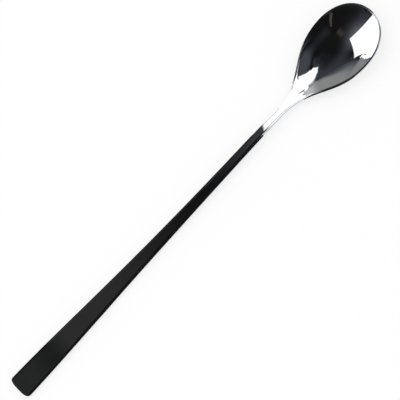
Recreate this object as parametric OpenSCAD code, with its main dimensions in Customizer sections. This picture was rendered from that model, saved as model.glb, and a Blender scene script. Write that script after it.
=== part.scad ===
// Long-handled spoon in polished steel: a pressed bowl with its neck, pegged into a tapered bar handle.
// X runs from the free end of the handle to the tip of the bowl, Z is up, and the spoon lies on Z = 0.
// All sizes are in millimetres and all angles in degrees.

/* [Overall] */
// Length from the free end of the handle to the tip of the bowl
length = 210; // [190:1:230]

/* [Handle] */
// Width next to the free end
end_width = 10.4; // [8:0.1:12]
// Thickness at the free end
handle_thick = 2.6; // [2.2:0.1:3]
// Length of the flat underside that lies on the table
rest_length = 45; // [30:1:60]
// Height of the crown across the upper face at the free end
end_crown = 0.12; // [0:0.02:0.3]
// How far the edge holds its width before it draws in
edge_hold = 38; // [25:1:50]
// Where the edge has drawn in, counted from the free end
edge_turn = 58; // [52:1:80]

/* [Neck] */
// Width at the narrowest place, where the two pieces meet
neck_width = 3.2; // [3:0.1:4.5]
// Thickness at the brow, where the neck is thickest
neck_thick = 3; // [2.7:0.1:3.4]
// Height of the crown across the upper face at the brow
neck_crown = 0.12; // [0:0.02:0.4]
// From the tip of the bowl back to the narrowest place
joint_back = 55; // [52:0.5:58]
// From the tip of the bowl back to the brow, where the handle stops rising
brow_back = 67.5; // [62:0.5:70]
// Fall of the neck from the brow towards the bowl
neck_fall = 2.6; // [0:0.1:3]

/* [Bowl] */
// Width of the bowl over its rim
bowl_width = 28.4; // [24:0.2:32]
// Depth of the bowl below its rim
bowl_depth = 5.2; // [4.8:0.1:7]
// Wall of the bowl
bowl_thick = 1.2; // [1:0.1:1.6]
// From the tip back to the widest line
wide_back = 17.1; // [15:0.1:20]
// Climb of the rim towards the tip
rim_climb = 6.8; // [4:0.1:8]
// How full the heel is: 0 for a soft heel, 1 for walls that meet the rim at one angle all round
heel_full = 1.2; // [0.6:0.1:1.5]
// How much the wall flares out towards the rim: 0 for a plain round dish
rim_flare = 0.4; // [0:0.02:0.5]

/* [Joint] */
// Diameter of the peg on the neck
peg_d = 1.5; // [1.2:0.1:1.6]
// Length of the peg
peg_len = 7; // [4:0.5:9]
// Room for the braze around the peg
braze_gap = 0.05; // [0.03:0.01:0.1]

/* [Hidden] */
steel = [0.78, 0.79, 0.80];

// Half widths that the edge curves pass through
end_half = end_width / 2;
neck_half = neck_width / 2;
bowl_half = bowl_width / 2;

// Runs of the corner, of the bend at the brow and of the heel
corner_run = 2.4;
brow_run = 5;
heel_run = 16;

// Places along the spoon, counted from the free end
brow_u = length - brow_back;
neck_u = brow_u + brow_run;
joint_u = length - joint_back;
heel_u = joint_u + heel_run;
wide_u = length - wide_back;
shoulder_run = wide_u - joint_u;

// The full heel gives way to the plain dish of the tip between these two places
full_until = wide_u - 15;
plain_from = wide_u + 6;

// Rounding of the long edges at the free end, brow and rim, and the most of half the wall that it takes
end_round = 0.6;
neck_round = 0.7;
rim_round = 0.5;
round_share = 0.92;

// The belly stays this far off the table when the flat of the handle lies on it
belly_lift = 0.1;

// Ground flat under the handle: its half widths at the free end and at the other end as shares of end_half,
// how far its long sides draw in between its corners, the bevel under the free end, and the lift after it
flat_wide = 0.865;
flat_narrow = 0.615;
flat_draw = 0.06;
toe_bevel = 0.8;
heel_lift = 0.1;
heel_lift_run = 12;

// Pulls of the edge curves in plan, as shares of the widths and runs that they act on
corner_full = 0.86;
corner_pull = 0.4;
hold_share = 0.94;
turn_share = 1.26;
shoulder_start = 0.44;
shoulder_end = 0.47;
tip_start = 0.565;
tip_full = 0.6;

// Edge curves in plan, each a cubic: end point, two pulls, end point
edge_slope = (1 - hold_share) * end_half / (edge_hold - corner_run);
end_edge = [
    [0, 0],
    [0, corner_full * end_half],
    [corner_pull, end_half + edge_slope * (corner_run - corner_pull)],
    [corner_run, end_half]
];
handle_edge = [
    [corner_run, end_half],
    [edge_hold, hold_share * end_half],
    [edge_turn, turn_share * neck_half],
    [joint_u, neck_half]
];
shoulder_edge = [
    [joint_u, neck_half],
    [joint_u + shoulder_start * shoulder_run, neck_half],
    [wide_u - shoulder_end * shoulder_run, bowl_half],
    [wide_u, bowl_half]
];
tip_edge = [
    [wide_u, bowl_half],
    [wide_u + tip_start * wide_back, bowl_half],
    [length, tip_full * bowl_half],
    [length, 0]
];

// Steps along each edge curve, across the spoon, and round each edge
end_steps = 9;
handle_steps = 44;
shoulder_steps = 28;
tip_steps = 16;
across = 22;
edge_steps = 5;
ring_size = 2 * across + 2;

// A curve's slope is taken this share of its run short of a pointed end
point_trim = 0.002;

// The rounds of the two edges leave at least this share of the width between them, squared
least_between = 0.05;

// The peg reaches this far into the neck that carries it
peg_root = 1;

function cubic(p, t) = (1 - t) ^ 3 * p[0] + 3 * (1 - t) ^ 2 * t * p[1]
    + 3 * (1 - t) * t ^ 2 * p[2] + t ^ 3 * p[3];

function cubic_run(p, t) = 3 * (1 - t) ^ 2 * (p[1] - p[0])
    + 6 * (1 - t) * t * (p[2] - p[1]) + 3 * t ^ 2 * (p[3] - p[2]);

// Eases from 0 at place a to 1 at place b, with its slope and the area under it
function part_way(a, b, u) = min(max((u - a) / (b - a), 0), 1);
function ease(a, b, u) = let (x = part_way(a, b, u)) x * x * (3 - 2 * x);
function ease_slope(a, b, u) = let (x = part_way(a, b, u)) 6 * x * (1 - x) / (b - a);
function ease_area(a, b, u) = let (x = part_way(a, b, u)) (b - a) * (x ^ 3 - x ^ 4 / 2) + max(u - b, 0);

// A value that goes from the free end through the brow to the bowl
function along(at_end, at_brow, at_bowl, u) = at_end
    + (at_brow - at_end) * ease(rest_length, brow_u, u)
    + (at_bowl - at_brow) * ease(brow_u, heel_u, u);

function thick(u) = along(handle_thick, neck_thick, bowl_thick, u);
function crown(u) = along(end_crown, neck_crown, 0, u);
function edge_round(u) = along(end_round, neck_round, rim_round, u);

// A station: its place, its half width, and the slope of the half width squared
function station(p, t) = let (q = cubic(p, t), d = cubic_run(p, t)) [q.x, q.y, 2 * q.y * d.y / d.x];
function stations(p, first, last, steps) = [for (i = [first:last]) station(p, i / steps)];
function closing_stations(p, steps) = [for (i = [1:steps]) station(p, 1 - (1 - i / steps) ^ 2)];
function pointed(p, t, end) = [p[end].x, bowl_half * point_trim, station(p, t)[2]];

handle_end = pointed(end_edge, point_trim, 0);
bowl_tip = pointed(tip_edge, 1 - point_trim, 3);
handle_stations = concat(
    stations(end_edge, 1, end_steps, end_steps),
    closing_stations(handle_edge, handle_steps)
);
bowl_stations = concat(
    stations(shoulder_edge, 0, shoulder_steps - 1, shoulder_steps),
    stations(tip_edge, 0, tip_steps - 1, tip_steps)
);

// Sink of the dish for each square millimetre inside its rim, and the slope of that along the spoon.
// The fuller the heel, the more the narrow part sinks.
full_sink = bowl_depth / bowl_half ^ 2;
function fullness(u) = heel_full * (1 - ease(full_until, plain_from, u));
function fullness_slope(u) = -heel_full * ease_slope(full_until, plain_from, u);
function narrow(s) = ln(bowl_half / s[1]);
function heel_sink(s) = full_sink * exp(fullness(s[0]) * narrow(s));
function heel_growth(s) = fullness_slope(s[0]) * narrow(s) - fullness(s[0]) * s[2] / (2 * s[1] ^ 2);
function sink(s) = heel_sink(s) * ease(joint_u, heel_u, s[0]);
function sink_slope(s) = heel_sink(s)
    * (ease_slope(joint_u, heel_u, s[0]) + ease(joint_u, heel_u, s[0]) * heel_growth(s));

// Side line of the spoon: flat on the rest, up to the brow, a little down the neck, and up along the rim.
// The handle rises as much as lets the belly of the bowl come down to the table.
fall_slope = tan(neck_fall);
climb_slope = tan(rim_climb);
function level(u) = handle_thick / 2 - fall_slope * ease_area(brow_u, neck_u, u)
    + (fall_slope + climb_slope) * ease_area(neck_u, heel_u, u);
function reach(u) = ease_area(rest_length, brow_u, u) - ease_area(brow_u, neck_u, u);
function belly(s) = sink(s) * s[1] ^ 2 + thick(s[0]) / 2 + belly_lift;
rise_slope = max([for (s = bowl_stations) (belly(s) - level(s[0])) / reach(s[0])]);
function spine(u) = level(u) + rise_slope * reach(u);
function spine_slope(u) = rise_slope * ease(rest_length, brow_u, u)
    - (rise_slope + fall_slope) * ease(brow_u, neck_u, u)
    + (fall_slope + climb_slope) * ease(neck_u, heel_u, u);

// Round of the edge on the upper (1) or under (-1) side, and the share of the half width inside it.
// Along the ground flat the under edge is a straight bevel instead.
function span(s) = sqrt(4 * s[1] ^ 2 + s[2] ^ 2);
function flat_half(u) = let (x = part_way(corner_run, rest_length, u))
    end_half * (flat_wide * (1 - x) + flat_narrow * x) - 4 * flat_draw * x * (1 - x);
function on_flat(u) = u >= corner_run && u <= rest_length;
function bevelled(s, side) = side < 0 && on_flat(s[0]);
function round_at(s, side) = bevelled(s, side)
    ? (s[1] ^ 2 - flat_half(s[0]) ^ 2) / span(s)
    : min(edge_round(s[0]), round_share * thick(s[0]) / 2);
function between(s, side) = sqrt(max(1 - span(s) * round_at(s, side) / s[1] ^ 2, least_between));

// How far the underside stands clear of the table plane at the two ends of the ground flat
function under_lift(u) = toe_bevel * (1 - part_way(0, corner_run, u))
    + heel_lift * part_way(rest_length, rest_length + heel_lift_run, u)
    * (1 - ease(rest_length + heel_lift_run, brow_u, u));

// A point of the skin at station s, at share v of the half width, on the upper (1) or under (-1) side.
// It stands off the middle of the wall, square to the dish, and closes in a round along the edge.
function skin(s, v, side) = let (
    u = s[0],
    y = s[1] * v,
    inside = s[1] ^ 2 - y ^ 2,
    half = thick(u) / 2,
    r = round_at(s, side),
    from_edge = min(inside / (span(s) * r), 1),
    closing = bevelled(s, side) ? from_edge : sqrt(from_edge * (2 - from_edge)),
    stand = half - r + r * closing,
    dish = inside * (1 - rim_flare * v ^ 2),
    lean_along = sink_slope(s) * dish + sink(s) * s[2] * (1 - rim_flare * v ^ 4),
    lean_across = -2 * sink(s) * y * (1 + rim_flare - 2 * rim_flare * v ^ 2),
    lean = [lean_along, lean_across, 1],
    more = side > 0 ? crown(u) * (1 - v ^ 2) : under_lift(u)
) [u - length / 2, y, spine(u) - sink(s) * dish + more] + side * stand * lean / norm(lean);

// Place j of the points across one side, as a share of the half width: round one edge, over, round the other
function share(j, middle) = let (
    k = min(j, across - j),
    turn = 1 - cos(90 * min(k / edge_steps, 1)),
    inner = (across / 2 - k) / (across / 2 - edge_steps),
    v = k < edge_steps ? sqrt(1 - turn * (1 - middle ^ 2)) : middle * inner
) j < across / 2 ? -v : v;

// One ring of skin round a station: over the upper side to the left edge, and back underneath
function ring(s) = concat(
    [for (j = [0:across]) skin(s, share(j, between(s, 1)), 1)],
    [for (j = [across:-1:0]) skin(s, share(j, between(s, -1)), -1)]
);
function apex(s) = [for (side = [1, -1]) let (p = skin(s, 1, side)) [p.x, 0, p.z]];

// Triangles between two rings, each given by the places of its points, leaving out those with no area
function strip(a, b) = [
    for (k = [0:ring_size - 1], f = let (n = (k + 1) % ring_size) [[a[k], a[n], b[n]], [a[k], b[n], b[k]]])
        if (f[0] != f[1] && f[1] != f[2] && f[2] != f[0]) f
];
function ring_ids(i) = [for (k = [0:ring_size - 1]) i * ring_size + k];
function apex_ids(first) = [for (k = [0:ring_size - 1]) k <= across ? first : first + 1];
function reversed(list) = [for (i = [len(list) - 1:-1:0]) list[i]];

// A lofted solid over stations, pointed at its first or last end and flat at the other
module loft(list, point, point_first) {
    count = len(list);
    rings = [for (s = list) each ring(s)];
    tip_ids = apex_ids(count * ring_size);
    body = [for (i = [0:count - 2]) each strip(ring_ids(i), ring_ids(i + 1))];
    nose = point_first ? strip(tip_ids, ring_ids(0)) : strip(ring_ids(count - 1), tip_ids);
    flat = point_first ? ring_ids(count - 1) : reversed(ring_ids(0));
    polyhedron(concat(rings, apex(point)), concat(body, nose, [flat]));
}

// A round bar along the neck's slope at the joint, from x back to x ahead of the joint face
module joint_bar(d, back, ahead) {
    translate([joint_u - length / 2, 0, spine(joint_u)])
        rotate([0, 90 - atan(spine_slope(joint_u)), 0])
            translate([0, 0, -back])
                cylinder(d = d, h = back + ahead, $fn = 48);
}

// Pressed bowl with its heel and neck, and the peg that goes into the handle
module bowl() {
    color(steel) union() {
        loft(bowl_stations, bowl_tip, false);
        joint_bar(peg_d, peg_len, peg_root);
    }
}

// Solid tapered bar with the socket for the peg
module handle() {
    color(steel) difference() {
        loft(handle_stations, handle_end, true);
        joint_bar(peg_d + 2 * braze_gap, peg_len + 2 * braze_gap, peg_root);
    }
}

bowl();
handle();
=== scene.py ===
"""Long-handled spoon in polished steel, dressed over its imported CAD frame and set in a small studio."""
import logging
import math
from dataclasses import dataclass, field
from enum import Enum
from typing import NamedTuple

import bmesh
import bpy
import numpy as np
from mathutils import Matrix, Vector


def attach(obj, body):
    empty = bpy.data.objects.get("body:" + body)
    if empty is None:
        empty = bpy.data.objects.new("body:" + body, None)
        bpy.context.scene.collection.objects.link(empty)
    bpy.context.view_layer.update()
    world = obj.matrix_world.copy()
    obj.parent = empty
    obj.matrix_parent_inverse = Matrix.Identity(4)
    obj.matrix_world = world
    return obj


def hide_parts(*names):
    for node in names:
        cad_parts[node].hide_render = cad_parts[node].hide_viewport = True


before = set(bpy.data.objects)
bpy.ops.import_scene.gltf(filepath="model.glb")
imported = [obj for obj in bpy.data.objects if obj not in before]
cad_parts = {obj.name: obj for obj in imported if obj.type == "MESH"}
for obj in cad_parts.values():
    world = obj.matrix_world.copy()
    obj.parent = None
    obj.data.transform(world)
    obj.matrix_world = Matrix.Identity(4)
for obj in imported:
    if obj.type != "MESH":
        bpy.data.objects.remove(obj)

LOG = logging.getLogger("spoon")
MM = 0.001
SAME_PLACE = 1e-9

# Sockets of Blender's mix node when it mixes colours
MIX_SHARE = 0
MIX_FIRST = 6
MIX_LAST = 7
MIX_RESULT = 2

# Directions along the spoon to its tip, across it to its left, and up
ALONG = (1.0, 0.0, 0.0)
ACROSS = (0.0, 1.0, 0.0)
UPWARD = (0.0, 0.0, 1.0)

Pair = tuple[float, float]
Triple = tuple[float, float, float]


class Side(Enum):
    """Upper or under side of the spoon's wall."""

    UPPER = 1
    UNDER = -1


class Hand(Enum):
    """Left or right of the spoon, looking from the handle to the tip."""

    LEFT = 1
    RIGHT = -1


def hex_to_linear(code: str, strength: float = 1.0) -> tuple[float, float, float, float]:
    """Turn an sRGB hex colour into linear RGBA.

    Args:
        code: Six hex digits with a leading hash.
        strength: Factor on the linear colour.

    Returns:
        Linear red, green, blue and an alpha of 1.
    """
    parts = [int(code[at:at + 2], 16) / 255 for at in (1, 3, 5)]
    linear = [part / 12.92 if part <= 0.04045 else ((part + 0.055) / 1.055) ** 2.4 for part in parts]
    return (linear[0] * strength, linear[1] * strength, linear[2] * strength, 1.0)


def add_node(
    tree: bpy.types.NodeTree, kind: str, inputs: dict | None = None, **settings: object
) -> bpy.types.Node:
    """Add a node, set it up and link or fill its inputs.

    Args:
        tree: Tree that takes the node.
        kind: Blender's name for the kind of node.
        inputs: Input name or place to a value, or to a socket that feeds it.
        **settings: Properties of the node itself.

    Returns:
        The new node.
    """
    node = tree.nodes.new(kind)
    for name, value in settings.items():
        setattr(node, name, value)
    for key, value in (inputs or {}).items():
        if isinstance(value, bpy.types.NodeSocket):
            tree.links.new(value, node.inputs[key])
        else:
            node.inputs[key].default_value = value
    return node


def empty_material(name: str) -> tuple[bpy.types.Material, bpy.types.NodeTree]:
    """Make a material with an empty node tree.

    Args:
        name: Name of the material.

    Returns:
        The material and its tree.
    """
    material = bpy.data.materials.new(name)
    material.use_nodes = True
    material.node_tree.nodes.clear()
    return material, material.node_tree


def mesh_object(name: str, points: list, faces: list) -> bpy.types.Object:
    """Make a mesh object from points in metres and link it to the scene.

    Args:
        name: Name of the object.
        points: Corners as triples.
        faces: Faces as lists of corner places.

    Returns:
        The new object.
    """
    mesh = bpy.data.meshes.new(name)
    mesh.from_pydata(points, [], faces)
    mesh.validate()
    obj = bpy.data.objects.new(name, mesh)
    bpy.context.scene.collection.objects.link(obj)
    return obj


def even_steps(count: int) -> np.ndarray:
    """Even places from the first step after 0 up to 1."""
    return np.arange(1, count + 1) / count


def rectangle(first: Pair, second: Pair) -> tuple[Pair, ...]:
    """Corners of a rectangle, from its two ends in the first and in the second direction."""
    (near, far), (low, high) = first, second
    return ((near, low), (far, low), (far, high), (near, high))


@dataclass(frozen=True)
class SpoonForm:
    """Sizes of the spoon in millimetres and degrees, and the skin that they give.

    The place u runs along the spoon from its free end to its tip, y across it and z up.
    """

    length: float = 210.0
    end_width: float = 10.4
    handle_thick: float = 2.6
    rest_length: float = 45.0
    end_crown: float = 0.12
    edge_hold: float = 38.0
    edge_turn: float = 58.0
    neck_width: float = 3.2
    neck_thick: float = 3.0
    neck_crown: float = 0.12
    joint_back: float = 55.0
    brow_back: float = 67.5
    neck_fall: float = 2.6
    bowl_width: float = 28.4
    bowl_depth: float = 5.2
    bowl_thick: float = 1.2
    wide_back: float = 17.1
    rim_climb: float = 6.8
    heel_full: float = 1.2
    rim_flare: float = 0.4
    peg_d: float = 1.5
    peg_len: float = 7.0
    peg_chamfer: float = 0.15
    braze_gap: float = 0.05
    corner_run: float = 2.4
    brow_run: float = 5.0
    heel_run: float = 16.0
    full_before: float = 15.0
    plain_after: float = 6.0
    end_round: float = 0.6
    neck_round: float = 0.7
    rim_round: float = 0.5
    round_share: float = 0.92
    belly_lift: float = 0.1
    flat_wide: float = 0.865
    flat_narrow: float = 0.615
    flat_draw: float = 0.06
    toe_bevel: float = 0.8
    heel_lift: float = 0.1
    heel_lift_run: float = 12.0
    corner_full: float = 0.86
    corner_pull: float = 0.4
    hold_share: float = 0.94
    turn_share: float = 1.26
    shoulder_start: float = 0.44
    shoulder_end: float = 0.47
    tip_start: float = 0.565
    tip_full: float = 0.6
    point_trim: float = 0.002
    least_between: float = 0.05
    slope_step: float = 0.01
    shoulder_steps: int = 28
    tip_steps: int = 16

    @property
    def end_half(self) -> float:
        """Half width next to the free end."""
        return self.end_width / 2

    @property
    def neck_half(self) -> float:
        """Half width at the joint."""
        return self.neck_width / 2

    @property
    def bowl_half(self) -> float:
        """Half width of the bowl over its rim."""
        return self.bowl_width / 2

    @property
    def brow_u(self) -> float:
        """Place of the brow."""
        return self.length - self.brow_back

    @property
    def neck_u(self) -> float:
        """Place where the bend at the brow ends."""
        return self.brow_u + self.brow_run

    @property
    def joint_u(self) -> float:
        """Place of the joint."""
        return self.length - self.joint_back

    @property
    def heel_u(self) -> float:
        """Place where the heel ends."""
        return self.joint_u + self.heel_run

    @property
    def wide_u(self) -> float:
        """Place of the widest line."""
        return self.length - self.wide_back

    def end_edge(self) -> np.ndarray:
        """Edge curve round the free end.

        Returns:
            Four points of a cubic.
        """
        slope = (1 - self.hold_share) * self.end_half / (self.edge_hold - self.corner_run)
        pulled = self.end_half + slope * (self.corner_run - self.corner_pull)
        return np.array([
            [0, 0],
            [0, self.corner_full * self.end_half],
            [self.corner_pull, pulled],
            [self.corner_run, self.end_half],
        ])

    def handle_edge(self) -> np.ndarray:
        """Edge curve along the handle, as four points of a cubic."""
        return np.array([
            [self.corner_run, self.end_half],
            [self.edge_hold, self.hold_share * self.end_half],
            [self.edge_turn, self.turn_share * self.neck_half],
            [self.joint_u, self.neck_half],
        ])

    def shoulder_edge(self) -> np.ndarray:
        """Edge curve from the joint to the widest line, as four points of a cubic."""
        run = self.wide_u - self.joint_u
        return np.array([
            [self.joint_u, self.neck_half],
            [self.joint_u + self.shoulder_start * run, self.neck_half],
            [self.wide_u - self.shoulder_end * run, self.bowl_half],
            [self.wide_u, self.bowl_half],
        ])

    def tip_edge(self) -> np.ndarray:
        """Edge curve from the widest line to the tip, as four points of a cubic."""
        return np.array([
            [self.wide_u, self.bowl_half],
            [self.wide_u + self.tip_start * self.wide_back, self.bowl_half],
            [self.length, self.tip_full * self.bowl_half],
            [self.length, 0],
        ])

    @staticmethod
    def stations(curve: np.ndarray, places: np.ndarray) -> np.ndarray:
        """Stations along an edge curve.

        Args:
            curve: Four points of a cubic.
            places: Places on the curve from 0 to 1.

        Returns:
            One row each: place u, half width, slope of the half width squared.
        """
        gone = np.asarray(places, float)[:, None]
        left = 1 - gone
        weights = (left ** 3, 3 * left * left * gone, 3 * left * gone * gone, gone ** 3)
        at = sum(weight * point for weight, point in zip(weights, curve))
        legs = np.diff(curve, axis=0)
        run = 3 * left * left * legs[0] + 6 * left * gone * legs[1] + 3 * gone * gone * legs[2]
        return np.stack([at[:, 0], at[:, 1], 2 * at[:, 1] * run[:, 1] / run[:, 0]], -1)

    def point_station(self, curve: np.ndarray, place: float, end: int) -> np.ndarray:
        """Station at a pointed end of a curve, as one row."""
        slope = self.stations(curve, np.array([place]))[0, 2]
        return np.array([[curve[end][0], self.bowl_half * self.point_trim, slope]])

    @staticmethod
    def part_way(start: float, stop: float, u: np.ndarray) -> np.ndarray:
        """Share of the way from start to stop, held between 0 and 1."""
        return np.clip((u - start) / (stop - start), 0, 1)

    def ease(self, start: float, stop: float, u: np.ndarray) -> np.ndarray:
        """Ease from 0 at the start to 1 at the stop."""
        share = self.part_way(start, stop, u)
        return share * share * (3 - 2 * share)

    def ease_slope(self, start: float, stop: float, u: np.ndarray) -> np.ndarray:
        """Slope of the ease."""
        share = self.part_way(start, stop, u)
        return 6 * share * (1 - share) / (stop - start)

    def ease_area(self, start: float, stop: float, u: np.ndarray) -> np.ndarray:
        """Area under the ease."""
        share = self.part_way(start, stop, u)
        return (stop - start) * (share ** 3 - share ** 4 / 2) + np.maximum(u - stop, 0)

    def along(self, at_end: float, at_brow: float, at_bowl: float, u: np.ndarray) -> np.ndarray:
        """Value that goes from the free end through the brow to the bowl."""
        first = (at_brow - at_end) * self.ease(self.rest_length, self.brow_u, u)
        return at_end + first + (at_bowl - at_brow) * self.ease(self.brow_u, self.heel_u, u)

    def thick(self, u: np.ndarray) -> np.ndarray:
        """Thickness of the wall."""
        return self.along(self.handle_thick, self.neck_thick, self.bowl_thick, u)

    def crown(self, u: np.ndarray) -> np.ndarray:
        """Height of the crown across the upper face."""
        return self.along(self.end_crown, self.neck_crown, 0, u)

    def sink(self, columns: np.ndarray) -> tuple[np.ndarray, np.ndarray]:
        """Sink of the dish for each square millimetre inside its rim.

        Args:
            columns: Stations as columns place u, half width, slope of the half width squared.

        Returns:
            The sink and its slope along the spoon.
        """
        u, half, slope = columns
        start, stop = self.wide_u - self.full_before, self.wide_u + self.plain_after
        full = self.heel_full * (1 - self.ease(start, stop, u))
        full_slope = -self.heel_full * self.ease_slope(start, stop, u)
        narrow = np.log(self.bowl_half / half)
        heel = self.bowl_depth / self.bowl_half ** 2 * np.exp(full * narrow)
        grown = self.ease(self.joint_u, self.heel_u, u)
        growth = full_slope * narrow - full * slope / (2 * half * half)
        return heel * grown, heel * (self.ease_slope(self.joint_u, self.heel_u, u) + grown * growth)

    def level(self, u: np.ndarray) -> np.ndarray:
        """Side line of the spoon without the handle's rise.

        Args:
            u: Places along the spoon.

        Returns:
            Heights at these places.
        """
        fall, climb = (math.tan(math.radians(angle)) for angle in (self.neck_fall, self.rim_climb))
        down = fall * self.ease_area(self.brow_u, self.neck_u, u)
        up = (fall + climb) * self.ease_area(self.neck_u, self.heel_u, u)
        return self.handle_thick / 2 - down + up

    def reach(self, u: np.ndarray) -> np.ndarray:
        """Length over which the handle's rise acts."""
        bent = self.ease_area(self.brow_u, self.neck_u, u)
        return self.ease_area(self.rest_length, self.brow_u, u) - bent

    def rise_slope(self) -> float:
        """Rise of the handle that lets the belly of the bowl come down to the table.

        Returns:
            Rise for each millimetre along the handle.
        """
        shoulder_places = np.arange(self.shoulder_steps) / self.shoulder_steps
        tip_places = np.arange(self.tip_steps) / self.tip_steps
        shoulder = self.stations(self.shoulder_edge(), shoulder_places)
        tip = self.stations(self.tip_edge(), tip_places)
        columns = np.vstack([shoulder, tip]).T
        u, half = columns[:2]
        belly = self.sink(columns)[0] * half ** 2 + self.thick(u) / 2 + self.belly_lift
        return float(((belly - self.level(u)) / self.reach(u)).max())

    def spine(self, u: np.ndarray) -> np.ndarray:
        """Height of the middle of the wall on the rim's line."""
        return self.level(u) + self.rise_slope() * self.reach(u)

    def bevelled(self, u: np.ndarray, side: Side) -> np.ndarray:
        """Whether the edge is the straight bevel along the ground flat."""
        return (side is Side.UNDER) & (u >= self.corner_run - SAME_PLACE) & (u <= self.rest_length)

    def edge_round(self, columns: np.ndarray, side: Side) -> np.ndarray:
        """Size of the round or bevel of the edge at each station.

        Args:
            columns: Stations as columns place u, half width, slope of the half width squared.
            side: Side of the wall.

        Returns:
            Radius of the round, or run of the bevel beside the ground flat.
        """
        u, half, slope = columns
        span = np.sqrt(4 * half * half + slope * slope)
        share = self.part_way(self.corner_run, self.rest_length, u)
        straight = self.end_half * (self.flat_wide * (1 - share) + self.flat_narrow * share)
        flat = straight - 4 * self.flat_draw * share * (1 - share)
        wanted = self.along(self.end_round, self.neck_round, self.rim_round, u)
        plain = np.minimum(wanted, self.round_share * self.thick(u) / 2)
        return np.where(self.bevelled(u, side), (half * half - flat * flat) / span, plain)

    def under_lift(self, u: np.ndarray) -> np.ndarray:
        """How far the underside stands clear of the table at the ends of the ground flat.

        Args:
            u: Places along the spoon.

        Returns:
            Lifts at these places.
        """
        toe = self.toe_bevel * (1 - self.part_way(0, self.corner_run, u))
        after = self.rest_length + self.heel_lift_run
        heel = self.heel_lift * self.part_way(self.rest_length, after, u)
        return toe + heel * (1 - self.ease(after, self.brow_u, u))

    def skin(self, stations: np.ndarray, across: int, edge_steps: int, side: Side) -> np.ndarray:
        """Points of the skin on one side, station by station.

        Args:
            stations: Rows of stations.
            across: Steps from edge to edge.
            edge_steps: Steps round each edge.
            side: Side of the wall.

        Returns:
            Grid of points in millimetres, stations by places across.
        """
        columns = stations.T[:, :, None]
        u, half, slope = columns
        rounding = self.edge_round(columns, side)
        span = np.sqrt(4 * half * half + slope * slope)
        between = np.sqrt(np.maximum(1 - span * rounding / (half * half), self.least_between))
        step = np.arange(across + 1)[None, :]
        from_edge = np.minimum(step, across - step)
        turn = 1 - np.cos(math.pi / 2 * np.minimum(from_edge / edge_steps, 1))
        inner = between * ((across / 2 - from_edge) / (across / 2 - edge_steps))
        outer = np.sqrt(np.maximum(1 - turn * (1 - between ** 2), 0))
        share = np.where(from_edge < edge_steps, outer, inner)
        share = np.where(step < across / 2, -share, share)
        y = half * share
        inside = half * half - y * y
        closed = np.minimum(inside / (span * rounding), 1)
        closing = np.where(self.bevelled(u, side), closed, np.sqrt(closed * (2 - closed)))
        stand = self.thick(u) / 2 - rounding + rounding * closing
        sink, sink_slope = self.sink(columns)
        flare = self.rim_flare
        dish = inside * (1 - flare * share * share)
        lean_along = sink_slope * dish + sink * slope * (1 - flare * share ** 4)
        lean_across = -2 * sink * y * (1 + flare - 2 * flare * share * share)
        lean = np.stack(np.broadcast_arrays(lean_along, lean_across, np.ones_like(y)), -1)
        lean /= np.linalg.norm(lean, axis=-1, keepdims=True)
        more = self.crown(u) * (1 - share * share) if side is Side.UPPER else self.under_lift(u)
        height = self.spine(u) - sink * dish + more
        base = np.stack(np.broadcast_arrays(u - self.length / 2, y, height), -1)
        return base + side.value * stand[..., None] * lean

    def joint_frame(self) -> tuple[np.ndarray, np.ndarray]:
        """Where the joint face is and how the neck runs through it.

        Returns:
            Middle of the face in millimetres and the neck's direction there.
        """
        at = np.array([self.joint_u])
        rise = (self.spine(at + self.slope_step) - self.spine(at - self.slope_step))[0]
        ahead = np.array([2 * self.slope_step, 0, rise])
        middle = np.array([self.joint_u - self.length / 2, 0, self.spine(at)[0]])
        return middle, ahead / np.linalg.norm(ahead)


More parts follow.
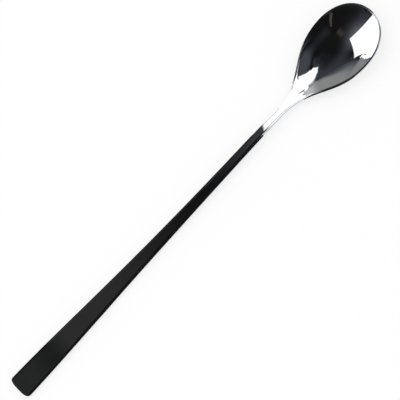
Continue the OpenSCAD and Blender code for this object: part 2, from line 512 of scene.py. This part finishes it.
@dataclass(frozen=True)
class PolishedSteel:
    """Stainless steel, pressed or forged and buffed to a mirror on felt wheels.

    The eye sees the room in it. The buffing leaves faint lines along the spoon and a slow waviness,
    and handling leaves patches a little less bright.
    """

    colour: str = "#C7C9CC"
    patch_colour: str = "#BDC0C5"
    roughness: float = 0.03
    patch_roughness: float = 0.075
    patch_mm: float = 9.0
    patch_detail: float = 4.0
    patch_grain: float = 0.6
    patch_range: Pair = (0.42, 0.72)
    line_mm: float = 0.3
    line_length_mm: float = 18.0
    line_depth_mm: float = 0.00012
    line_detail: float = 2.0
    wave_mm: float = 11.0
    wave_depth_mm: float = 0.004
    wave_detail: float = 1.0

    def build(self) -> bpy.types.Material:
        """Make the material.

        Returns:
            Node material for mirror-polished stainless steel.
        """
        material, tree = empty_material("polished_stainless_steel")
        place = add_node(tree, "ShaderNodeTexCoord").outputs["Object"]
        patches = add_node(tree, "ShaderNodeTexNoise", {
            "Vector": place,
            "Scale": 1 / (self.patch_mm * MM),
            "Detail": self.patch_detail,
            "Roughness": self.patch_grain,
        })
        patch = add_node(tree, "ShaderNodeMapRange", {
            "Value": patches.outputs["Fac"],
            "From Min": self.patch_range[0],
            "From Max": self.patch_range[1],
        }).outputs["Result"]
        # Buffing lines are far finer than a pixel, so they are drawn 0.3 mm apart to show at all.
        stretch = (1 / (self.line_length_mm * MM), 1 / (self.line_mm * MM), 1 / (self.line_mm * MM))
        drawn = add_node(tree, "ShaderNodeVectorMath", {0: place, 1: stretch}, operation="MULTIPLY")
        lines = add_node(tree, "ShaderNodeTexNoise", {
            "Vector": drawn.outputs["Vector"],
            "Scale": 1.0,
            "Detail": self.line_detail,
        })
        waves = add_node(tree, "ShaderNodeTexNoise", {
            "Vector": place,
            "Scale": 1 / (self.wave_mm * MM),
            "Detail": self.wave_detail,
        })
        wavy = add_node(tree, "ShaderNodeBump", {
            "Height": waves.outputs["Fac"],
            "Strength": 1.0,
            "Distance": self.wave_depth_mm * MM,
        })
        lined = add_node(tree, "ShaderNodeBump", {
            "Height": lines.outputs["Fac"],
            "Strength": 1.0,
            "Distance": self.line_depth_mm * MM,
            "Normal": wavy.outputs["Normal"],
        })
        tint = add_node(tree, "ShaderNodeMix", {
            MIX_SHARE: patch,
            MIX_FIRST: hex_to_linear(self.colour),
            MIX_LAST: hex_to_linear(self.patch_colour),
        }, data_type="RGBA")
        rough = add_node(tree, "ShaderNodeMapRange", {
            "Value": patch,
            "To Min": self.roughness,
            "To Max": self.patch_roughness,
        })
        shader = add_node(tree, "ShaderNodeBsdfPrincipled", {
            "Base Color": tint.outputs[MIX_RESULT],
            "Metallic": 1.0,
            "Roughness": rough.outputs["Result"],
            "Normal": lined.outputs["Normal"],
        })
        add_node(tree, "ShaderNodeOutputMaterial", {"Surface": shader.outputs["BSDF"]})
        return material


@dataclass
class LoftedPiece:
    """One lofted piece of the spoon: rings of skin, a pointed end and a flat joint face."""

    form: SpoonForm
    steel: bpy.types.Material
    across: int = 64
    edge_steps: int = 12
    sharp_angle: float = 28.0
    name: str = field(default="", init=False)
    node: str = field(default="", init=False)
    bar_d: float = field(default=0.0, init=False)
    bar_depth: float = field(default=0.0, init=False)
    bar_chamfer: float = field(default=0.0, init=False)
    obj: bpy.types.Object | None = field(default=None, init=False)

    def stations(self) -> np.ndarray:
        """Stations from the pointed end to the joint face."""
        raise NotImplementedError

    def point(self) -> np.ndarray:
        """Station of the pointed end."""
        raise NotImplementedError

    def rings(self, stations: np.ndarray) -> np.ndarray:
        """Closed rings of skin: over the upper side and back underneath.

        Args:
            stations: Rows of stations.

        Returns:
            Grid of points in millimetres, stations by places round the ring.
        """
        upper = self.form.skin(stations, self.across, self.edge_steps, Side.UPPER)
        under = self.form.skin(stations, self.across, self.edge_steps, Side.UNDER)
        return np.concatenate([upper, under[:, ::-1]], axis=1)

    def bar_rings(self, ring: np.ndarray) -> np.ndarray:
        """Rings of the round peg or socket in the joint face.

        Args:
            ring: The ring of skin round the joint face.

        Returns:
            Three rings: at the face, at the start of the chamfer and at the far end.
        """
        middle, ahead = self.form.joint_frame()
        up = np.array([-ahead[2], 0, ahead[0]])
        angle = np.arctan2(ring[:, 2] - middle[2], ring[:, 1])
        spoke = np.cos(angle)[:, None] * np.array(ACROSS) + np.sin(angle)[:, None] * up
        radius = self.bar_d / 2
        profile = (
            (0.0, radius),
            (self.bar_depth - self.bar_chamfer, radius),
            (self.bar_depth, radius - self.bar_chamfer),
        )
        return np.array([middle - depth * ahead + out * spoke for depth, out in profile])

    def build(self) -> "LoftedPiece":
        """Build the closed mesh.

        Returns:
            The piece itself.
        """
        skin = self.rings(self.stations())
        rings = np.concatenate([skin, self.bar_rings(skin[-1])])
        count, size = rings.shape[:2]
        tip = self.form.skin(self.point(), self.across, self.edge_steps, Side.UPPER)[0, 0]
        toe = self.form.skin(self.point(), self.across, self.edge_steps, Side.UNDER)[0, 0]
        middle, ahead = self.form.joint_frame()
        ends = [[tip[0], 0, tip[2]], [toe[0], 0, toe[2]], (middle - self.bar_depth * ahead).tolist()]
        points = np.concatenate([rings.reshape(-1, 3), np.array(ends)]) * MM
        last_ring = (count - 1) * size
        upper_end, under_end, bar_end = (count * size + place for place in range(3))
        faces = []
        for here in range(size):
            after = (here + 1) % size
            for ring in range(0, last_ring, size):
                faces.append([ring + here, ring + after, ring + size + after, ring + size + here])
            first, second = (upper_end if place <= self.across else under_end for place in (here, after))
            faces.append([first, after, here] if first == second else [first, second, after, here])
            faces.append([last_ring + here, last_ring + after, bar_end])
        self.obj = mesh_object(self.name, points.tolist(), faces)
        self.clean()
        return self

    def clean(self) -> None:
        """Turn all faces outwards, shade them smooth and keep the arris of the ground flat sharp."""
        work = bmesh.new()
        work.from_mesh(self.obj.data)
        bmesh.ops.recalc_face_normals(work, faces=work.faces)
        work.to_mesh(self.obj.data)
        work.free()
        self.obj.data.shade_smooth()
        self.obj.data.set_sharp_from_angle(angle=math.radians(self.sharp_angle))

    def dress(self) -> None:
        """Give the piece its steel and its body, and hide the CAD node that it stands for."""
        self.obj.data.materials.append(self.steel)
        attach(self.obj, "root")
        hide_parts(self.node)
        LOG.info("%s: %d faces", self.name, len(self.obj.data.polygons))


@dataclass
class PressedBowl(LoftedPiece):
    """Bowl with its heel and neck, and the peg that goes into the handle."""

    shoulder_count: int = 170
    tip_count: int = 80

    def __post_init__(self) -> None:
        """Set the names and the peg."""
        self.name, self.node = "bowl_polished", "bowl"
        self.bar_d, self.bar_depth = self.form.peg_d, self.form.peg_len
        self.bar_chamfer = self.form.peg_chamfer

    def stations(self) -> np.ndarray:
        """Stations from the tip back to the joint face.

        Returns:
            Rows of stations.
        """
        tip = self.form.stations(self.form.tip_edge(), 1 - even_steps(self.tip_count))
        shoulder = self.form.stations(self.form.shoulder_edge(), 1 - even_steps(self.shoulder_count))
        return np.vstack([tip, shoulder])

    def point(self) -> np.ndarray:
        """Station of the tip."""
        return self.form.point_station(self.form.tip_edge(), 1 - self.form.point_trim, 3)


@dataclass
class BarHandle(LoftedPiece):
    """Tapered bar handle with the socket for the peg."""

    end_count: int = 30
    handle_count: int = 210

    def __post_init__(self) -> None:
        """Set the names and the socket."""
        self.name, self.node = "handle_polished", "handle"
        self.bar_d = self.form.peg_d + 2 * self.form.braze_gap
        self.bar_depth = self.form.peg_len + 2 * self.form.braze_gap

    def stations(self) -> np.ndarray:
        """Stations from the free end to the joint face.

        Returns:
            Rows of stations.
        """
        end = self.form.stations(self.form.end_edge(), even_steps(self.end_count))
        handle = self.form.stations(self.form.handle_edge(), even_steps(self.handle_count))
        return np.vstack([end, handle])

    def point(self) -> np.ndarray:
        """Station of the free end."""
        return self.form.point_station(self.form.end_edge(), self.form.point_trim, 0)


@dataclass(frozen=True)
class Fade:
    """Glow that goes from one tone to another along a direction."""

    axis: Triple
    span: Pair
    tones: tuple[str, str]
    strength: float = 1.0

    @classmethod
    def plain(cls, tone: str, strength: float = 1.0) -> "Fade":
        """Even glow of one tone."""
        return cls(ALONG, (-1.0, 1.0), (tone, tone), strength)

    def colour(self, tree: bpy.types.NodeTree, at: bpy.types.NodeSocket) -> bpy.types.NodeSocket:
        """Add the nodes of the fade.

        Args:
            tree: Tree that takes the nodes.
            at: Place or direction that the fade follows.

        Returns:
            Socket with the colour.
        """
        along = add_node(tree, "ShaderNodeVectorMath", {0: at, 1: self.axis}, operation="DOT_PRODUCT")
        share = add_node(tree, "ShaderNodeMapRange", {
            "Value": along.outputs["Value"],
            "From Min": self.span[0],
            "From Max": self.span[1],
        }, interpolation_type="SMOOTHSTEP")
        mixed = add_node(tree, "ShaderNodeMix", {
            MIX_SHARE: share.outputs["Result"],
            MIX_FIRST: hex_to_linear(self.tones[0], self.strength),
            MIX_LAST: hex_to_linear(self.tones[1], self.strength),
        }, data_type="RGBA")
        return mixed.outputs[MIX_RESULT]

    def painted_glow(self, name: str) -> bpy.types.Material:
        """Make the painted glow of a card: a sheet that gives off this glow by its place, though it is no
        lamp.

        Args:
            name: Name of the card.

        Returns:
            The card's painted glow.
        """
        material, tree = empty_material(name + "_painted_glow")
        place = add_node(tree, "ShaderNodeTexCoord").outputs["Object"]
        colour = self.colour(tree, place)
        # The card gives off its tone as no lamp would, and the steel shows it as a painted reflection.
        shine = add_node(tree, "ShaderNodeEmission", {"Color": colour, "Strength": 1.0})
        add_node(tree, "ShaderNodeOutputMaterial", {"Surface": shine.outputs[0]})
        return material


@dataclass(frozen=True)
class Card:
    """A glowing card near the spoon that only the steel sees, though it is no lamp: black to darken the
    steel with painted shade, or glowing white to whiten it with a painted highlight.

    Its corners are in metres.
    """

    name: str
    corners: tuple[Triple, ...]
    glow: Fade

    @classmethod
    def level(cls, name: str, height: float, plan: tuple[Pair, ...], glow: Fade) -> "Card":
        """Card that lies level, from its corners in plan."""
        return cls(name, tuple((x, y, height) for x, y in plan), glow)

    @classmethod
    def upright(cls, name: str, across: float, side: tuple[Pair, ...], glow: Fade) -> "Card":
        """Card that stands along the spoon, from its corners in side view."""
        return cls(name, tuple((x, across, z) for x, z in side), glow)

    def build(self) -> bpy.types.Object:
        """Make the card.

        Returns:
            The card's object.
        """
        obj = mesh_object(self.name, list(self.corners), [list(range(len(self.corners)))])
        obj.data.materials.append(self.glow.painted_glow(self.name))
        return obj


@dataclass(frozen=True)
class RimCard:
    """A low card close round a stretch of the rim, so that the rim's round sees only the card; a black one
    puts painted shade on the rim.
    """

    name: str
    form: SpoonForm
    hand: Hand
    stretch: Pair
    glow: Fade
    clear_mm: float = 0.4
    below_mm: float = 1.6
    above_mm: float = 2.4
    rise_mm: float = 8.0
    steps: int = 60
    last_place: float = 0.999

    def outline(self) -> np.ndarray:
        """Outline of the rim along the stretch, set outwards by the clearance.

        Returns:
            Rows of place u and half width in millimetres.
        """
        form, places = self.form, np.linspace(0, 1, self.steps)
        shoulder = form.stations(form.shoulder_edge(), places[:-1])
        tip = form.stations(form.tip_edge(), places * self.last_place)
        rim = np.vstack([shoulder, tip])[:, :2]
        along = np.gradient(rim, axis=0)
        along_size = np.linalg.norm(along, axis=1, keepdims=True)
        outward = np.stack([-along[:, 1], along[:, 0]], -1) / along_size
        kept = (rim[:, 0] >= self.stretch[0]) & (rim[:, 0] <= self.stretch[1])
        return (rim + self.clear_mm * outward)[kept]

    def build(self) -> bpy.types.Object:
        """Make the card.

        Returns:
            The card's object.
        """
        outline = self.outline()
        count = len(outline)
        u, y = outline[:, 0], self.hand.value * outline[:, 1]
        x = u - self.form.length / 2
        start = self.stretch[0]
        rim = self.form.spine(np.minimum(u, self.form.length))
        top = rim + self.above_mm * self.form.part_way(start, start + self.rise_mm, u)
        rows = [np.stack([x, y, z], -1) for z in (rim - self.below_mm, top)]
        faces = [[i, i + 1, count + i + 1, count + i] for i in range(count - 1)]
        obj = mesh_object(self.name, (np.concatenate(rows) * MM).tolist(), faces)
        obj.data.materials.append(self.glow.painted_glow(self.name))
        return obj


class Edge(NamedTuple):
    """Straight edge of an opening, through two points of a plane one unit overhead.

    Its softness is in degrees.
    """

    start: Pair
    stop: Pair
    soft: float


@dataclass(frozen=True)
class Window:
    """A lit opening in the studio's dark surround, between straight edges, on the side of `within`."""

    name: str
    edges: tuple[Edge, ...]
    within: Pair
    glow: Fade

    def mask(self, tree: bpy.types.NodeTree, way: bpy.types.NodeSocket) -> bpy.types.NodeSocket:
        """Add the nodes that are 1 inside the opening and 0 outside.

        Args:
            tree: Tree of the surround's material.
            way: Direction from the spoon.

        Returns:
            Socket with the mask.
        """
        result = None
        for edge in self.edges:
            normal = Vector((*edge.start, 1)).cross(Vector((*edge.stop, 1))).normalized()
            if normal.dot(Vector((*self.within, 1))) < 0:
                normal = -normal
            across = add_node(tree, "ShaderNodeVectorMath", {0: way, 1: normal}, operation="DOT_PRODUCT")
            half = math.radians(edge.soft) / 2
            step = add_node(tree, "ShaderNodeMapRange", {
                "Value": across.outputs["Value"],
                "From Min": -half,
                "From Max": half,
            }, interpolation_type="SMOOTHSTEP")
            value = step.outputs["Result"]
            if result is not None:
                both = add_node(tree, "ShaderNodeMath", {0: result, 1: value}, operation="MULTIPLY")
                value = both.outputs[0]
            result = value
        return result


# Painted glow of the studio's dim room, given off by the surround though it is no lamp: cooler and a
# little lighter towards the tip and the left
DIM_ROOM = Fade((1.0, 0.1, 0.0), (0.0, 0.2), ("#1C1C1C", "#474950"))
LIT = 2.0
WHITE = Fade.plain("#FFFFFF", LIT)
BLACK = Fade.plain("#202020")

SOFTBOX_END = Edge((1.4, -2.0), (1.4, 2.0), 4.0)
WINDOWS = (
    Window("warm_shelf", (
        Edge((-0.36, -0.6), (-0.36, 0.0), 7.0),
        Edge((-0.23, -0.6), (-0.23, 0.0), 7.0),
        Edge((-0.4, -0.5), (-0.2, -0.5), 9.0),
        Edge((-0.4, -0.15), (-0.2, -0.15), 9.0),
    ), (-0.3, -0.3), Fade.plain("#4C4138")),
    Window("grey_wall", (
        Edge((0.17, 1.36), (0.0, 2.66), 2.0),
        Edge((0.38, 0.95), (0.17, 1.36), 2.0),
        Edge((0.64, 0.77), (1.28, 1.54), 4.0),
    ), (0.6, 2.0), Fade((1.6, 0.0, -1.0), (-0.36, -0.05), ("#565A63", "#A9A8A5"))),
    Window("left_glow", (
        Edge((-0.4, 0.35), (-1.98, 1.15), 80.0),
        Edge((-0.34, 0.35), (-0.04, 2.32), 40.0),
        Edge((-1.0, 0.75), (1.0, 0.75), 40.0),
    ), (-1.0, 0.68), Fade(ALONG, (-0.85, -0.45), ("#80848F", "#B0B4C3"))),
    Window("left_window", (
        Edge((-0.4, 0.36), (-1.98, 1.22), 2.0),
        Edge((-0.34, 0.35), (-0.04, 2.32), 1.5),
        Edge((-0.04, 2.32), (-0.30, 2.87), 0.6),
        Edge((-0.2, 3.7), (-2.6, 1.7), 3.0),
    ), (-1.0, 2.0), WHITE),
    Window("left_pane", (
        Edge((-0.33, 2.95), (-0.39, 3.3), 0.5),
        Edge((-0.4, 2.95), (0.0, 2.95), 0.5),
        Edge((-0.13, 2.9), (-0.13, 3.5), 0.6),
    ), (-0.25, 3.2), WHITE),
    Window("tip_softbox", (
        Edge((0.115, -0.04), (0.57, -0.9), 1.5),
        Edge((0.15, 0.0), (0.36, 0.74), 2.0),
        Edge((0.36, 1.0), (0.79, 1.77), 2.0),
        SOFTBOX_END,
    ), (1.0, 0.0), WHITE),
    Window("low_softbox", (
        Edge((0.225, 0.29), (0.385, 1.06), 2.0),
        Edge((0.2, 0.31), (1.0, 0.31), 2.0),
        Edge((0.37, 1.03), (0.79, 1.77), 2.0),
        SOFTBOX_END,
    ), (1.0, 0.8), WHITE),
)

TABLE_HEIGHT = 0.00002
TABLE_END = 0.9
FLAG_HEIGHT = 0.06
FLAG_ACROSS = (0.006, 0.029)
NECK_HEIGHT = 0.02
CARDS = (
    # Black glowing cards on the table and beside the handle, seen only in the steel: painted shade for the
    # spoon's edges
    Card.level("handle_table_card", TABLE_HEIGHT, (
        (-TABLE_END, -TABLE_END), (0.039, -TABLE_END), (0.039, 0.0), (0.036, 0.0), (0.036, 0.055),
        (-TABLE_END, 0.055),
    ), BLACK),
    Card.level("bowl_table_card", TABLE_HEIGHT, (
        (0.062, -TABLE_END), (0.078, -TABLE_END), (0.078, 0.0), (TABLE_END, 0.3), (TABLE_END, TABLE_END),
        (0.062, TABLE_END),
    ), BLACK),
    Card.upright("edge_card", 0.03, (
        (-0.14, 0.0), (0.036, 0.0), (0.036, 0.04), (-0.085, 0.04), (-0.1, 0.09), (-0.14, 0.09),
    ), BLACK),
    # Dark glowing flags over the handle, the brow and the right of the bowl, seen only in the steel:
    # painted reflection of dark tones
    Card.level("end_flag", FLAG_HEIGHT, rectangle((-0.125, -0.093), FLAG_ACROSS),
               Fade(ALONG, (-0.107, -0.093), ("#343433", "#292928"))),
    Card.level("rest_flag", FLAG_HEIGHT, rectangle((-0.093, -0.08), FLAG_ACROSS),
               Fade(ALONG, (-0.093, -0.082), ("#292928", "#3B3A39"))),
    Card.level("handle_flag", FLAG_HEIGHT, rectangle((-0.08, 0.004), FLAG_ACROSS),
               Fade(ALONG, (-0.064, 0.002), ("#3B3A39", "#1B1B1B"))),
    Card.level("brow_flag", NECK_HEIGHT, rectangle((0.0015, 0.0418), (-0.005, 0.008)),
               Fade(ALONG, (0.006, 0.042), ("#1B1B1B", "#4A4A4D"))),
    Card.level("heel_flag", 0.033, (
        (0.0809, -0.0072), (0.0817, -0.0098), (0.0824, -0.013), (0.083, -0.0156), (0.085, -0.0209),
        (0.0866, -0.0258), (0.09, -0.036), (0.14, -0.036), (0.14, -0.0072),
    ), Fade((1.0, -0.6, 0.0), (0.0895, 0.0945), ("#1C1C1D", "#52565D"))),
    # Small glowing cards close over the dish, seen only in the steel: painted reflections that put small
    # marks in the bowl
    Card.upright("band_card", -0.006, rectangle((0.079, 0.0885), (0.0062, 0.012)),
                 Fade(UPWARD, (0.0062, 0.0075), ("#96979A", "#A9A8A5"))),
    Card.upright("band_end_card", -0.0005, rectangle((0.0632, 0.0705), (0.0029, 0.0055)),
                 Fade(ALONG, (0.0645, 0.0705), ("#ECECEA", "#A9A8A5"))),
    Card.level("warm_card", 0.009, (
        (0.0929, 0.0117), (0.0936, 0.0106), (0.0911, 0.0082), (0.0891, 0.0057), (0.0888, 0.0063),
        (0.0906, 0.009),
    ), Fade(ACROSS, (0.0095, 0.0115), ("#5E4F48", "#4E4B47"))),
    Card.upright("strip_card", -0.011, (
        (0.0872, 0.0061), (0.0885, 0.0064), (0.0896, 0.0072), (0.0905, 0.008), (0.0905, 0.0095),
        (0.0872, 0.0095),
    ), Fade(ALONG, (0.0872, 0.0905), ("#A2A3A4", "#858A92"))),
    Card.upright("strip_end_card", -0.0105, rectangle((0.0893, 0.0909), (0.0062, 0.009)), WHITE),
    Card.upright("wedge_card", 0.0028, (
        (0.0632, 0.0076), (0.0652, 0.0052), (0.0665, 0.006), (0.0647, 0.0089),
    ), Fade.plain("#444444")),
    # White glowing cards round the neck and the heel, seen only in the steel: painted highlight on them
    Card.level("neck_card", NECK_HEIGHT, rectangle((0.0418, 0.06), (-0.005, 0.012)),
               Fade((1.0, -0.25, 0.0), (0.0409, 0.0437), ("#37373A", "#FFFFFF"), LIT)),
    Card.upright("heel_side_card", 0.03, (
        (0.046, 0.0), (0.061, 0.0), (0.059, 0.03), (0.046, 0.03),
    ), WHITE),
    Card.upright("heel_card", 0.003, (
        (0.052, 0.0052), (0.0645, 0.0045), (0.066, 0.0049), (0.0665, 0.0054), (0.067, 0.03), (0.052, 0.03),
    ), WHITE),
    Card.upright("neck_side_card", -0.02, (
        (0.046, 0.0), (0.058, 0.0), (0.057, 0.03), (0.045, 0.03),
    ), WHITE),
)


@dataclass(frozen=True)
class MattCard:
    """White card stock, rolled and left uncoated.

    The eye sees an even white without shine, which keeps a light shadow of what lies on it.
    """

    colour: str = "#F8F8F8"
    glow_colour: str = "#FFFFFF"
    glow_share: float = 0.72

    def build(self) -> bpy.types.Material:
        """Make the material.

        Returns:
            Node material for matt white card.
        """
        material, tree = empty_material("matt_white_card")
        paths = add_node(tree, "ShaderNodeLightPath").outputs
        seen = paths["Is Camera Ray"]
        for kind in ("Is Glossy Ray", "Is Transmission Ray"):
            either = add_node(tree, "ShaderNodeMath", {0: seen, 1: paths[kind]}, operation="MAXIMUM")
            seen = either.outputs[0]
        share = add_node(tree, "ShaderNodeMath", {0: seen, 1: self.glow_share}, operation="MULTIPLY")
        matt = add_node(tree, "ShaderNodeBsdfDiffuse", {"Color": hex_to_linear(self.colour)})
        glow = add_node(tree, "ShaderNodeEmission", {
            "Color": hex_to_linear(self.glow_colour),
            "Strength": 1.0,
        })
        mixed = add_node(tree, "ShaderNodeMixShader", {
            0: share.outputs[0],
            1: matt.outputs[0],
            2: glow.outputs[0],
        })
        add_node(tree, "ShaderNodeOutputMaterial", {"Surface": mixed.outputs[0]})
        return material


@dataclass(frozen=True)
class PhotoCamera:
    """Camera at the photograph's viewing angle, in degrees, millimetres and the photograph's pixels."""

    turn: float = -1.13075
    roll: float = 47.56673
    lift: float = 71.61125
    distance_mm: float = 700.0
    pixels_per_mm: float = 2.44882
    photo_pixels: float = 400.0
    shift_pixels: Pair = (3.4978, 3.5896)
    sensor_mm: float = 36.0
    far_mm: float = 50000.0

    def build(self) -> None:
        """Set the camera up and look through it."""
        turn, roll, lift = (math.radians(angle) for angle in (self.turn, self.roll, self.lift))
        across = Vector((math.cos(turn), -math.sin(turn), 0))
        away = Vector((math.sin(turn), math.cos(turn), 0))
        upward = away * math.sin(lift) + Vector((0, 0, math.cos(lift)))
        back = -away * math.cos(lift) + Vector((0, 0, math.sin(lift)))
        right = across * math.cos(roll) - upward * math.sin(roll)
        top = across * math.sin(roll) + upward * math.cos(roll)
        data = bpy.data.cameras.new("photo_camera")
        data.sensor_width = self.sensor_mm
        data.lens = self.pixels_per_mm * self.distance_mm / self.photo_pixels * self.sensor_mm
        data.shift_x, data.shift_y = (shift / self.photo_pixels for shift in self.shift_pixels)
        data.clip_end = self.far_mm * MM
        obj = bpy.data.objects.new("photo_camera", data)
        turned = Matrix((right, top, back)).transposed().to_4x4()
        obj.matrix_world = Matrix.Translation(back * (self.distance_mm * MM)) @ turned
        bpy.context.scene.collection.objects.link(obj)
        bpy.context.scene.camera = obj


@dataclass
class Studio:
    """Pale floor, dark surround with its lit openings, cards, soft lamp, world and camera, in metres."""

    windows: tuple[Window, ...]
    cards: tuple[Card | RimCard, ...]
    room: Fade
    camera: PhotoCamera = PhotoCamera()
    floor_card: MattCard = MattCard()
    floor_half: float = 6.0
    surround_radius: float = 4.0
    surround_segments: tuple[int, int] = (64, 32)
    bowl_middle: Triple = (0.085, 0.0, 0.0)
    world_strength: float = 0.9
    lamp_size: Pair = (1.6, 1.2)
    lamp_energy: float = 6.0
    lamp_place: Triple = (-0.3, 0.5, 1.6)

    @staticmethod
    def only_in_steel(obj: bpy.types.Object) -> None:
        """Let a stage piece show only in reflections.

        Args:
            obj: The stage piece.
        """
        obj.visible_camera = False
        obj.visible_diffuse = False
        obj.visible_shadow = False
        obj.visible_transmission = False
        obj.visible_volume_scatter = False

    def build(self) -> None:
        """Build the whole studio."""
        self.camera.build()
        self.floor()
        self.light()
        self.surround()
        for card in self.cards:
            self.only_in_steel(card.build())

    def floor(self) -> None:
        """Lay the pale floor."""
        half = self.floor_half
        corners = [(x, y, 0) for x, y in rectangle((-half, half), (-half, half))]
        obj = mesh_object("pale_floor", corners, [[0, 1, 2, 3]])
        obj.data.materials.append(self.floor_card.build())

    def felt(self) -> bpy.types.Material:
        """Make the surround's painted glow of a dim room, which has no gleam of its own and gives off its
        dark tones though it is no lamp, and its lit openings.

        Returns:
            Node material for the surround's painted room glow with lit openings.
        """
        material, tree = empty_material("painted_room_glow_with_lit_openings")
        place = add_node(tree, "ShaderNodeTexCoord").outputs["Object"]
        way = add_node(tree, "ShaderNodeVectorMath", {0: place}, operation="NORMALIZE").outputs["Vector"]
        colour = self.room.colour(tree, way)
        for window in self.windows:
            mixed = add_node(tree, "ShaderNodeMix", {
                MIX_SHARE: window.mask(tree, way),
                MIX_FIRST: colour,
                MIX_LAST: window.glow.colour(tree, way),
            }, data_type="RGBA", label=window.name)
            colour = mixed.outputs[MIX_RESULT]
        # The whole surround glows though it is no lamp: a painted dim room and openings for the steel to
        # reflect.
        glow = add_node(tree, "ShaderNodeEmission", {"Color": colour, "Strength": 1.0})
        add_node(tree, "ShaderNodeOutputMaterial", {"Surface": glow.outputs[0]})
        return material

    def surround(self) -> None:
        """Put the dark surround with its lit openings round the spoon."""
        mesh = bpy.data.meshes.new("studio_surround")
        around, upward = self.surround_segments
        work = bmesh.new()
        bmesh.ops.create_uvsphere(work, u_segments=around, v_segments=upward, radius=self.surround_radius)
        work.to_mesh(mesh)
        work.free()
        mesh.materials.append(self.felt())
        obj = bpy.data.objects.new("studio_surround", mesh)
        obj.location = self.bowl_middle
        bpy.context.scene.collection.objects.link(obj)
        self.only_in_steel(obj)

    def light(self) -> None:
        """Light the floor with a plain white world and one broad soft lamp overhead."""
        world = bpy.data.worlds.new("white_room")
        world.use_nodes = True
        world.node_tree.nodes.clear()
        back = add_node(world.node_tree, "ShaderNodeBackground", {
            "Color": hex_to_linear("#FFFFFF"),
            "Strength": self.world_strength,
        })
        add_node(world.node_tree, "ShaderNodeOutputWorld", {"Surface": back.outputs[0]})
        bpy.context.scene.world = world
        lamp = bpy.data.lights.new("overhead_softbox", "AREA")
        lamp.shape = "RECTANGLE"
        lamp.size, lamp.size_y = self.lamp_size
        lamp.energy = self.lamp_energy
        obj = bpy.data.objects.new("overhead_softbox", lamp)
        obj.location = self.lamp_place
        obj.rotation_euler = (-Vector(self.lamp_place)).to_track_quat("-Z", "Y").to_euler()
        obj.visible_glossy = False
        bpy.context.scene.collection.objects.link(obj)


def main() -> None:
    """Build the studio and the spoon in order."""
    logging.basicConfig(level=logging.INFO, format="%(name)s: %(message)s")
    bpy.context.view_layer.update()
    bpy.context.scene.view_settings.view_transform = "Standard"
    form = SpoonForm()
    rim_cards = (
        RimCard("left_rim_card", form, Hand.LEFT, (178.0, 210.0), BLACK),
        RimCard("low_rim_card", form, Hand.LEFT, (167.0, 182.0), BLACK,
                clear_mm=0.22, above_mm=0.95, rise_mm=2.0),
        RimCard("tip_rim_card", form, Hand.RIGHT, (209.94, 210.0), BLACK, rise_mm=0.1),
        RimCard("right_rim_card", form, Hand.RIGHT, (165.5, 181.0), BLACK),
    )
    Studio(WINDOWS, CARDS + rim_cards, DIM_ROOM).build()
    steel = PolishedSteel().build()
    for piece in (PressedBowl(form, steel), BarHandle(form, steel)):
        piece.build().dress()


if __name__ == "__main__":
    main()
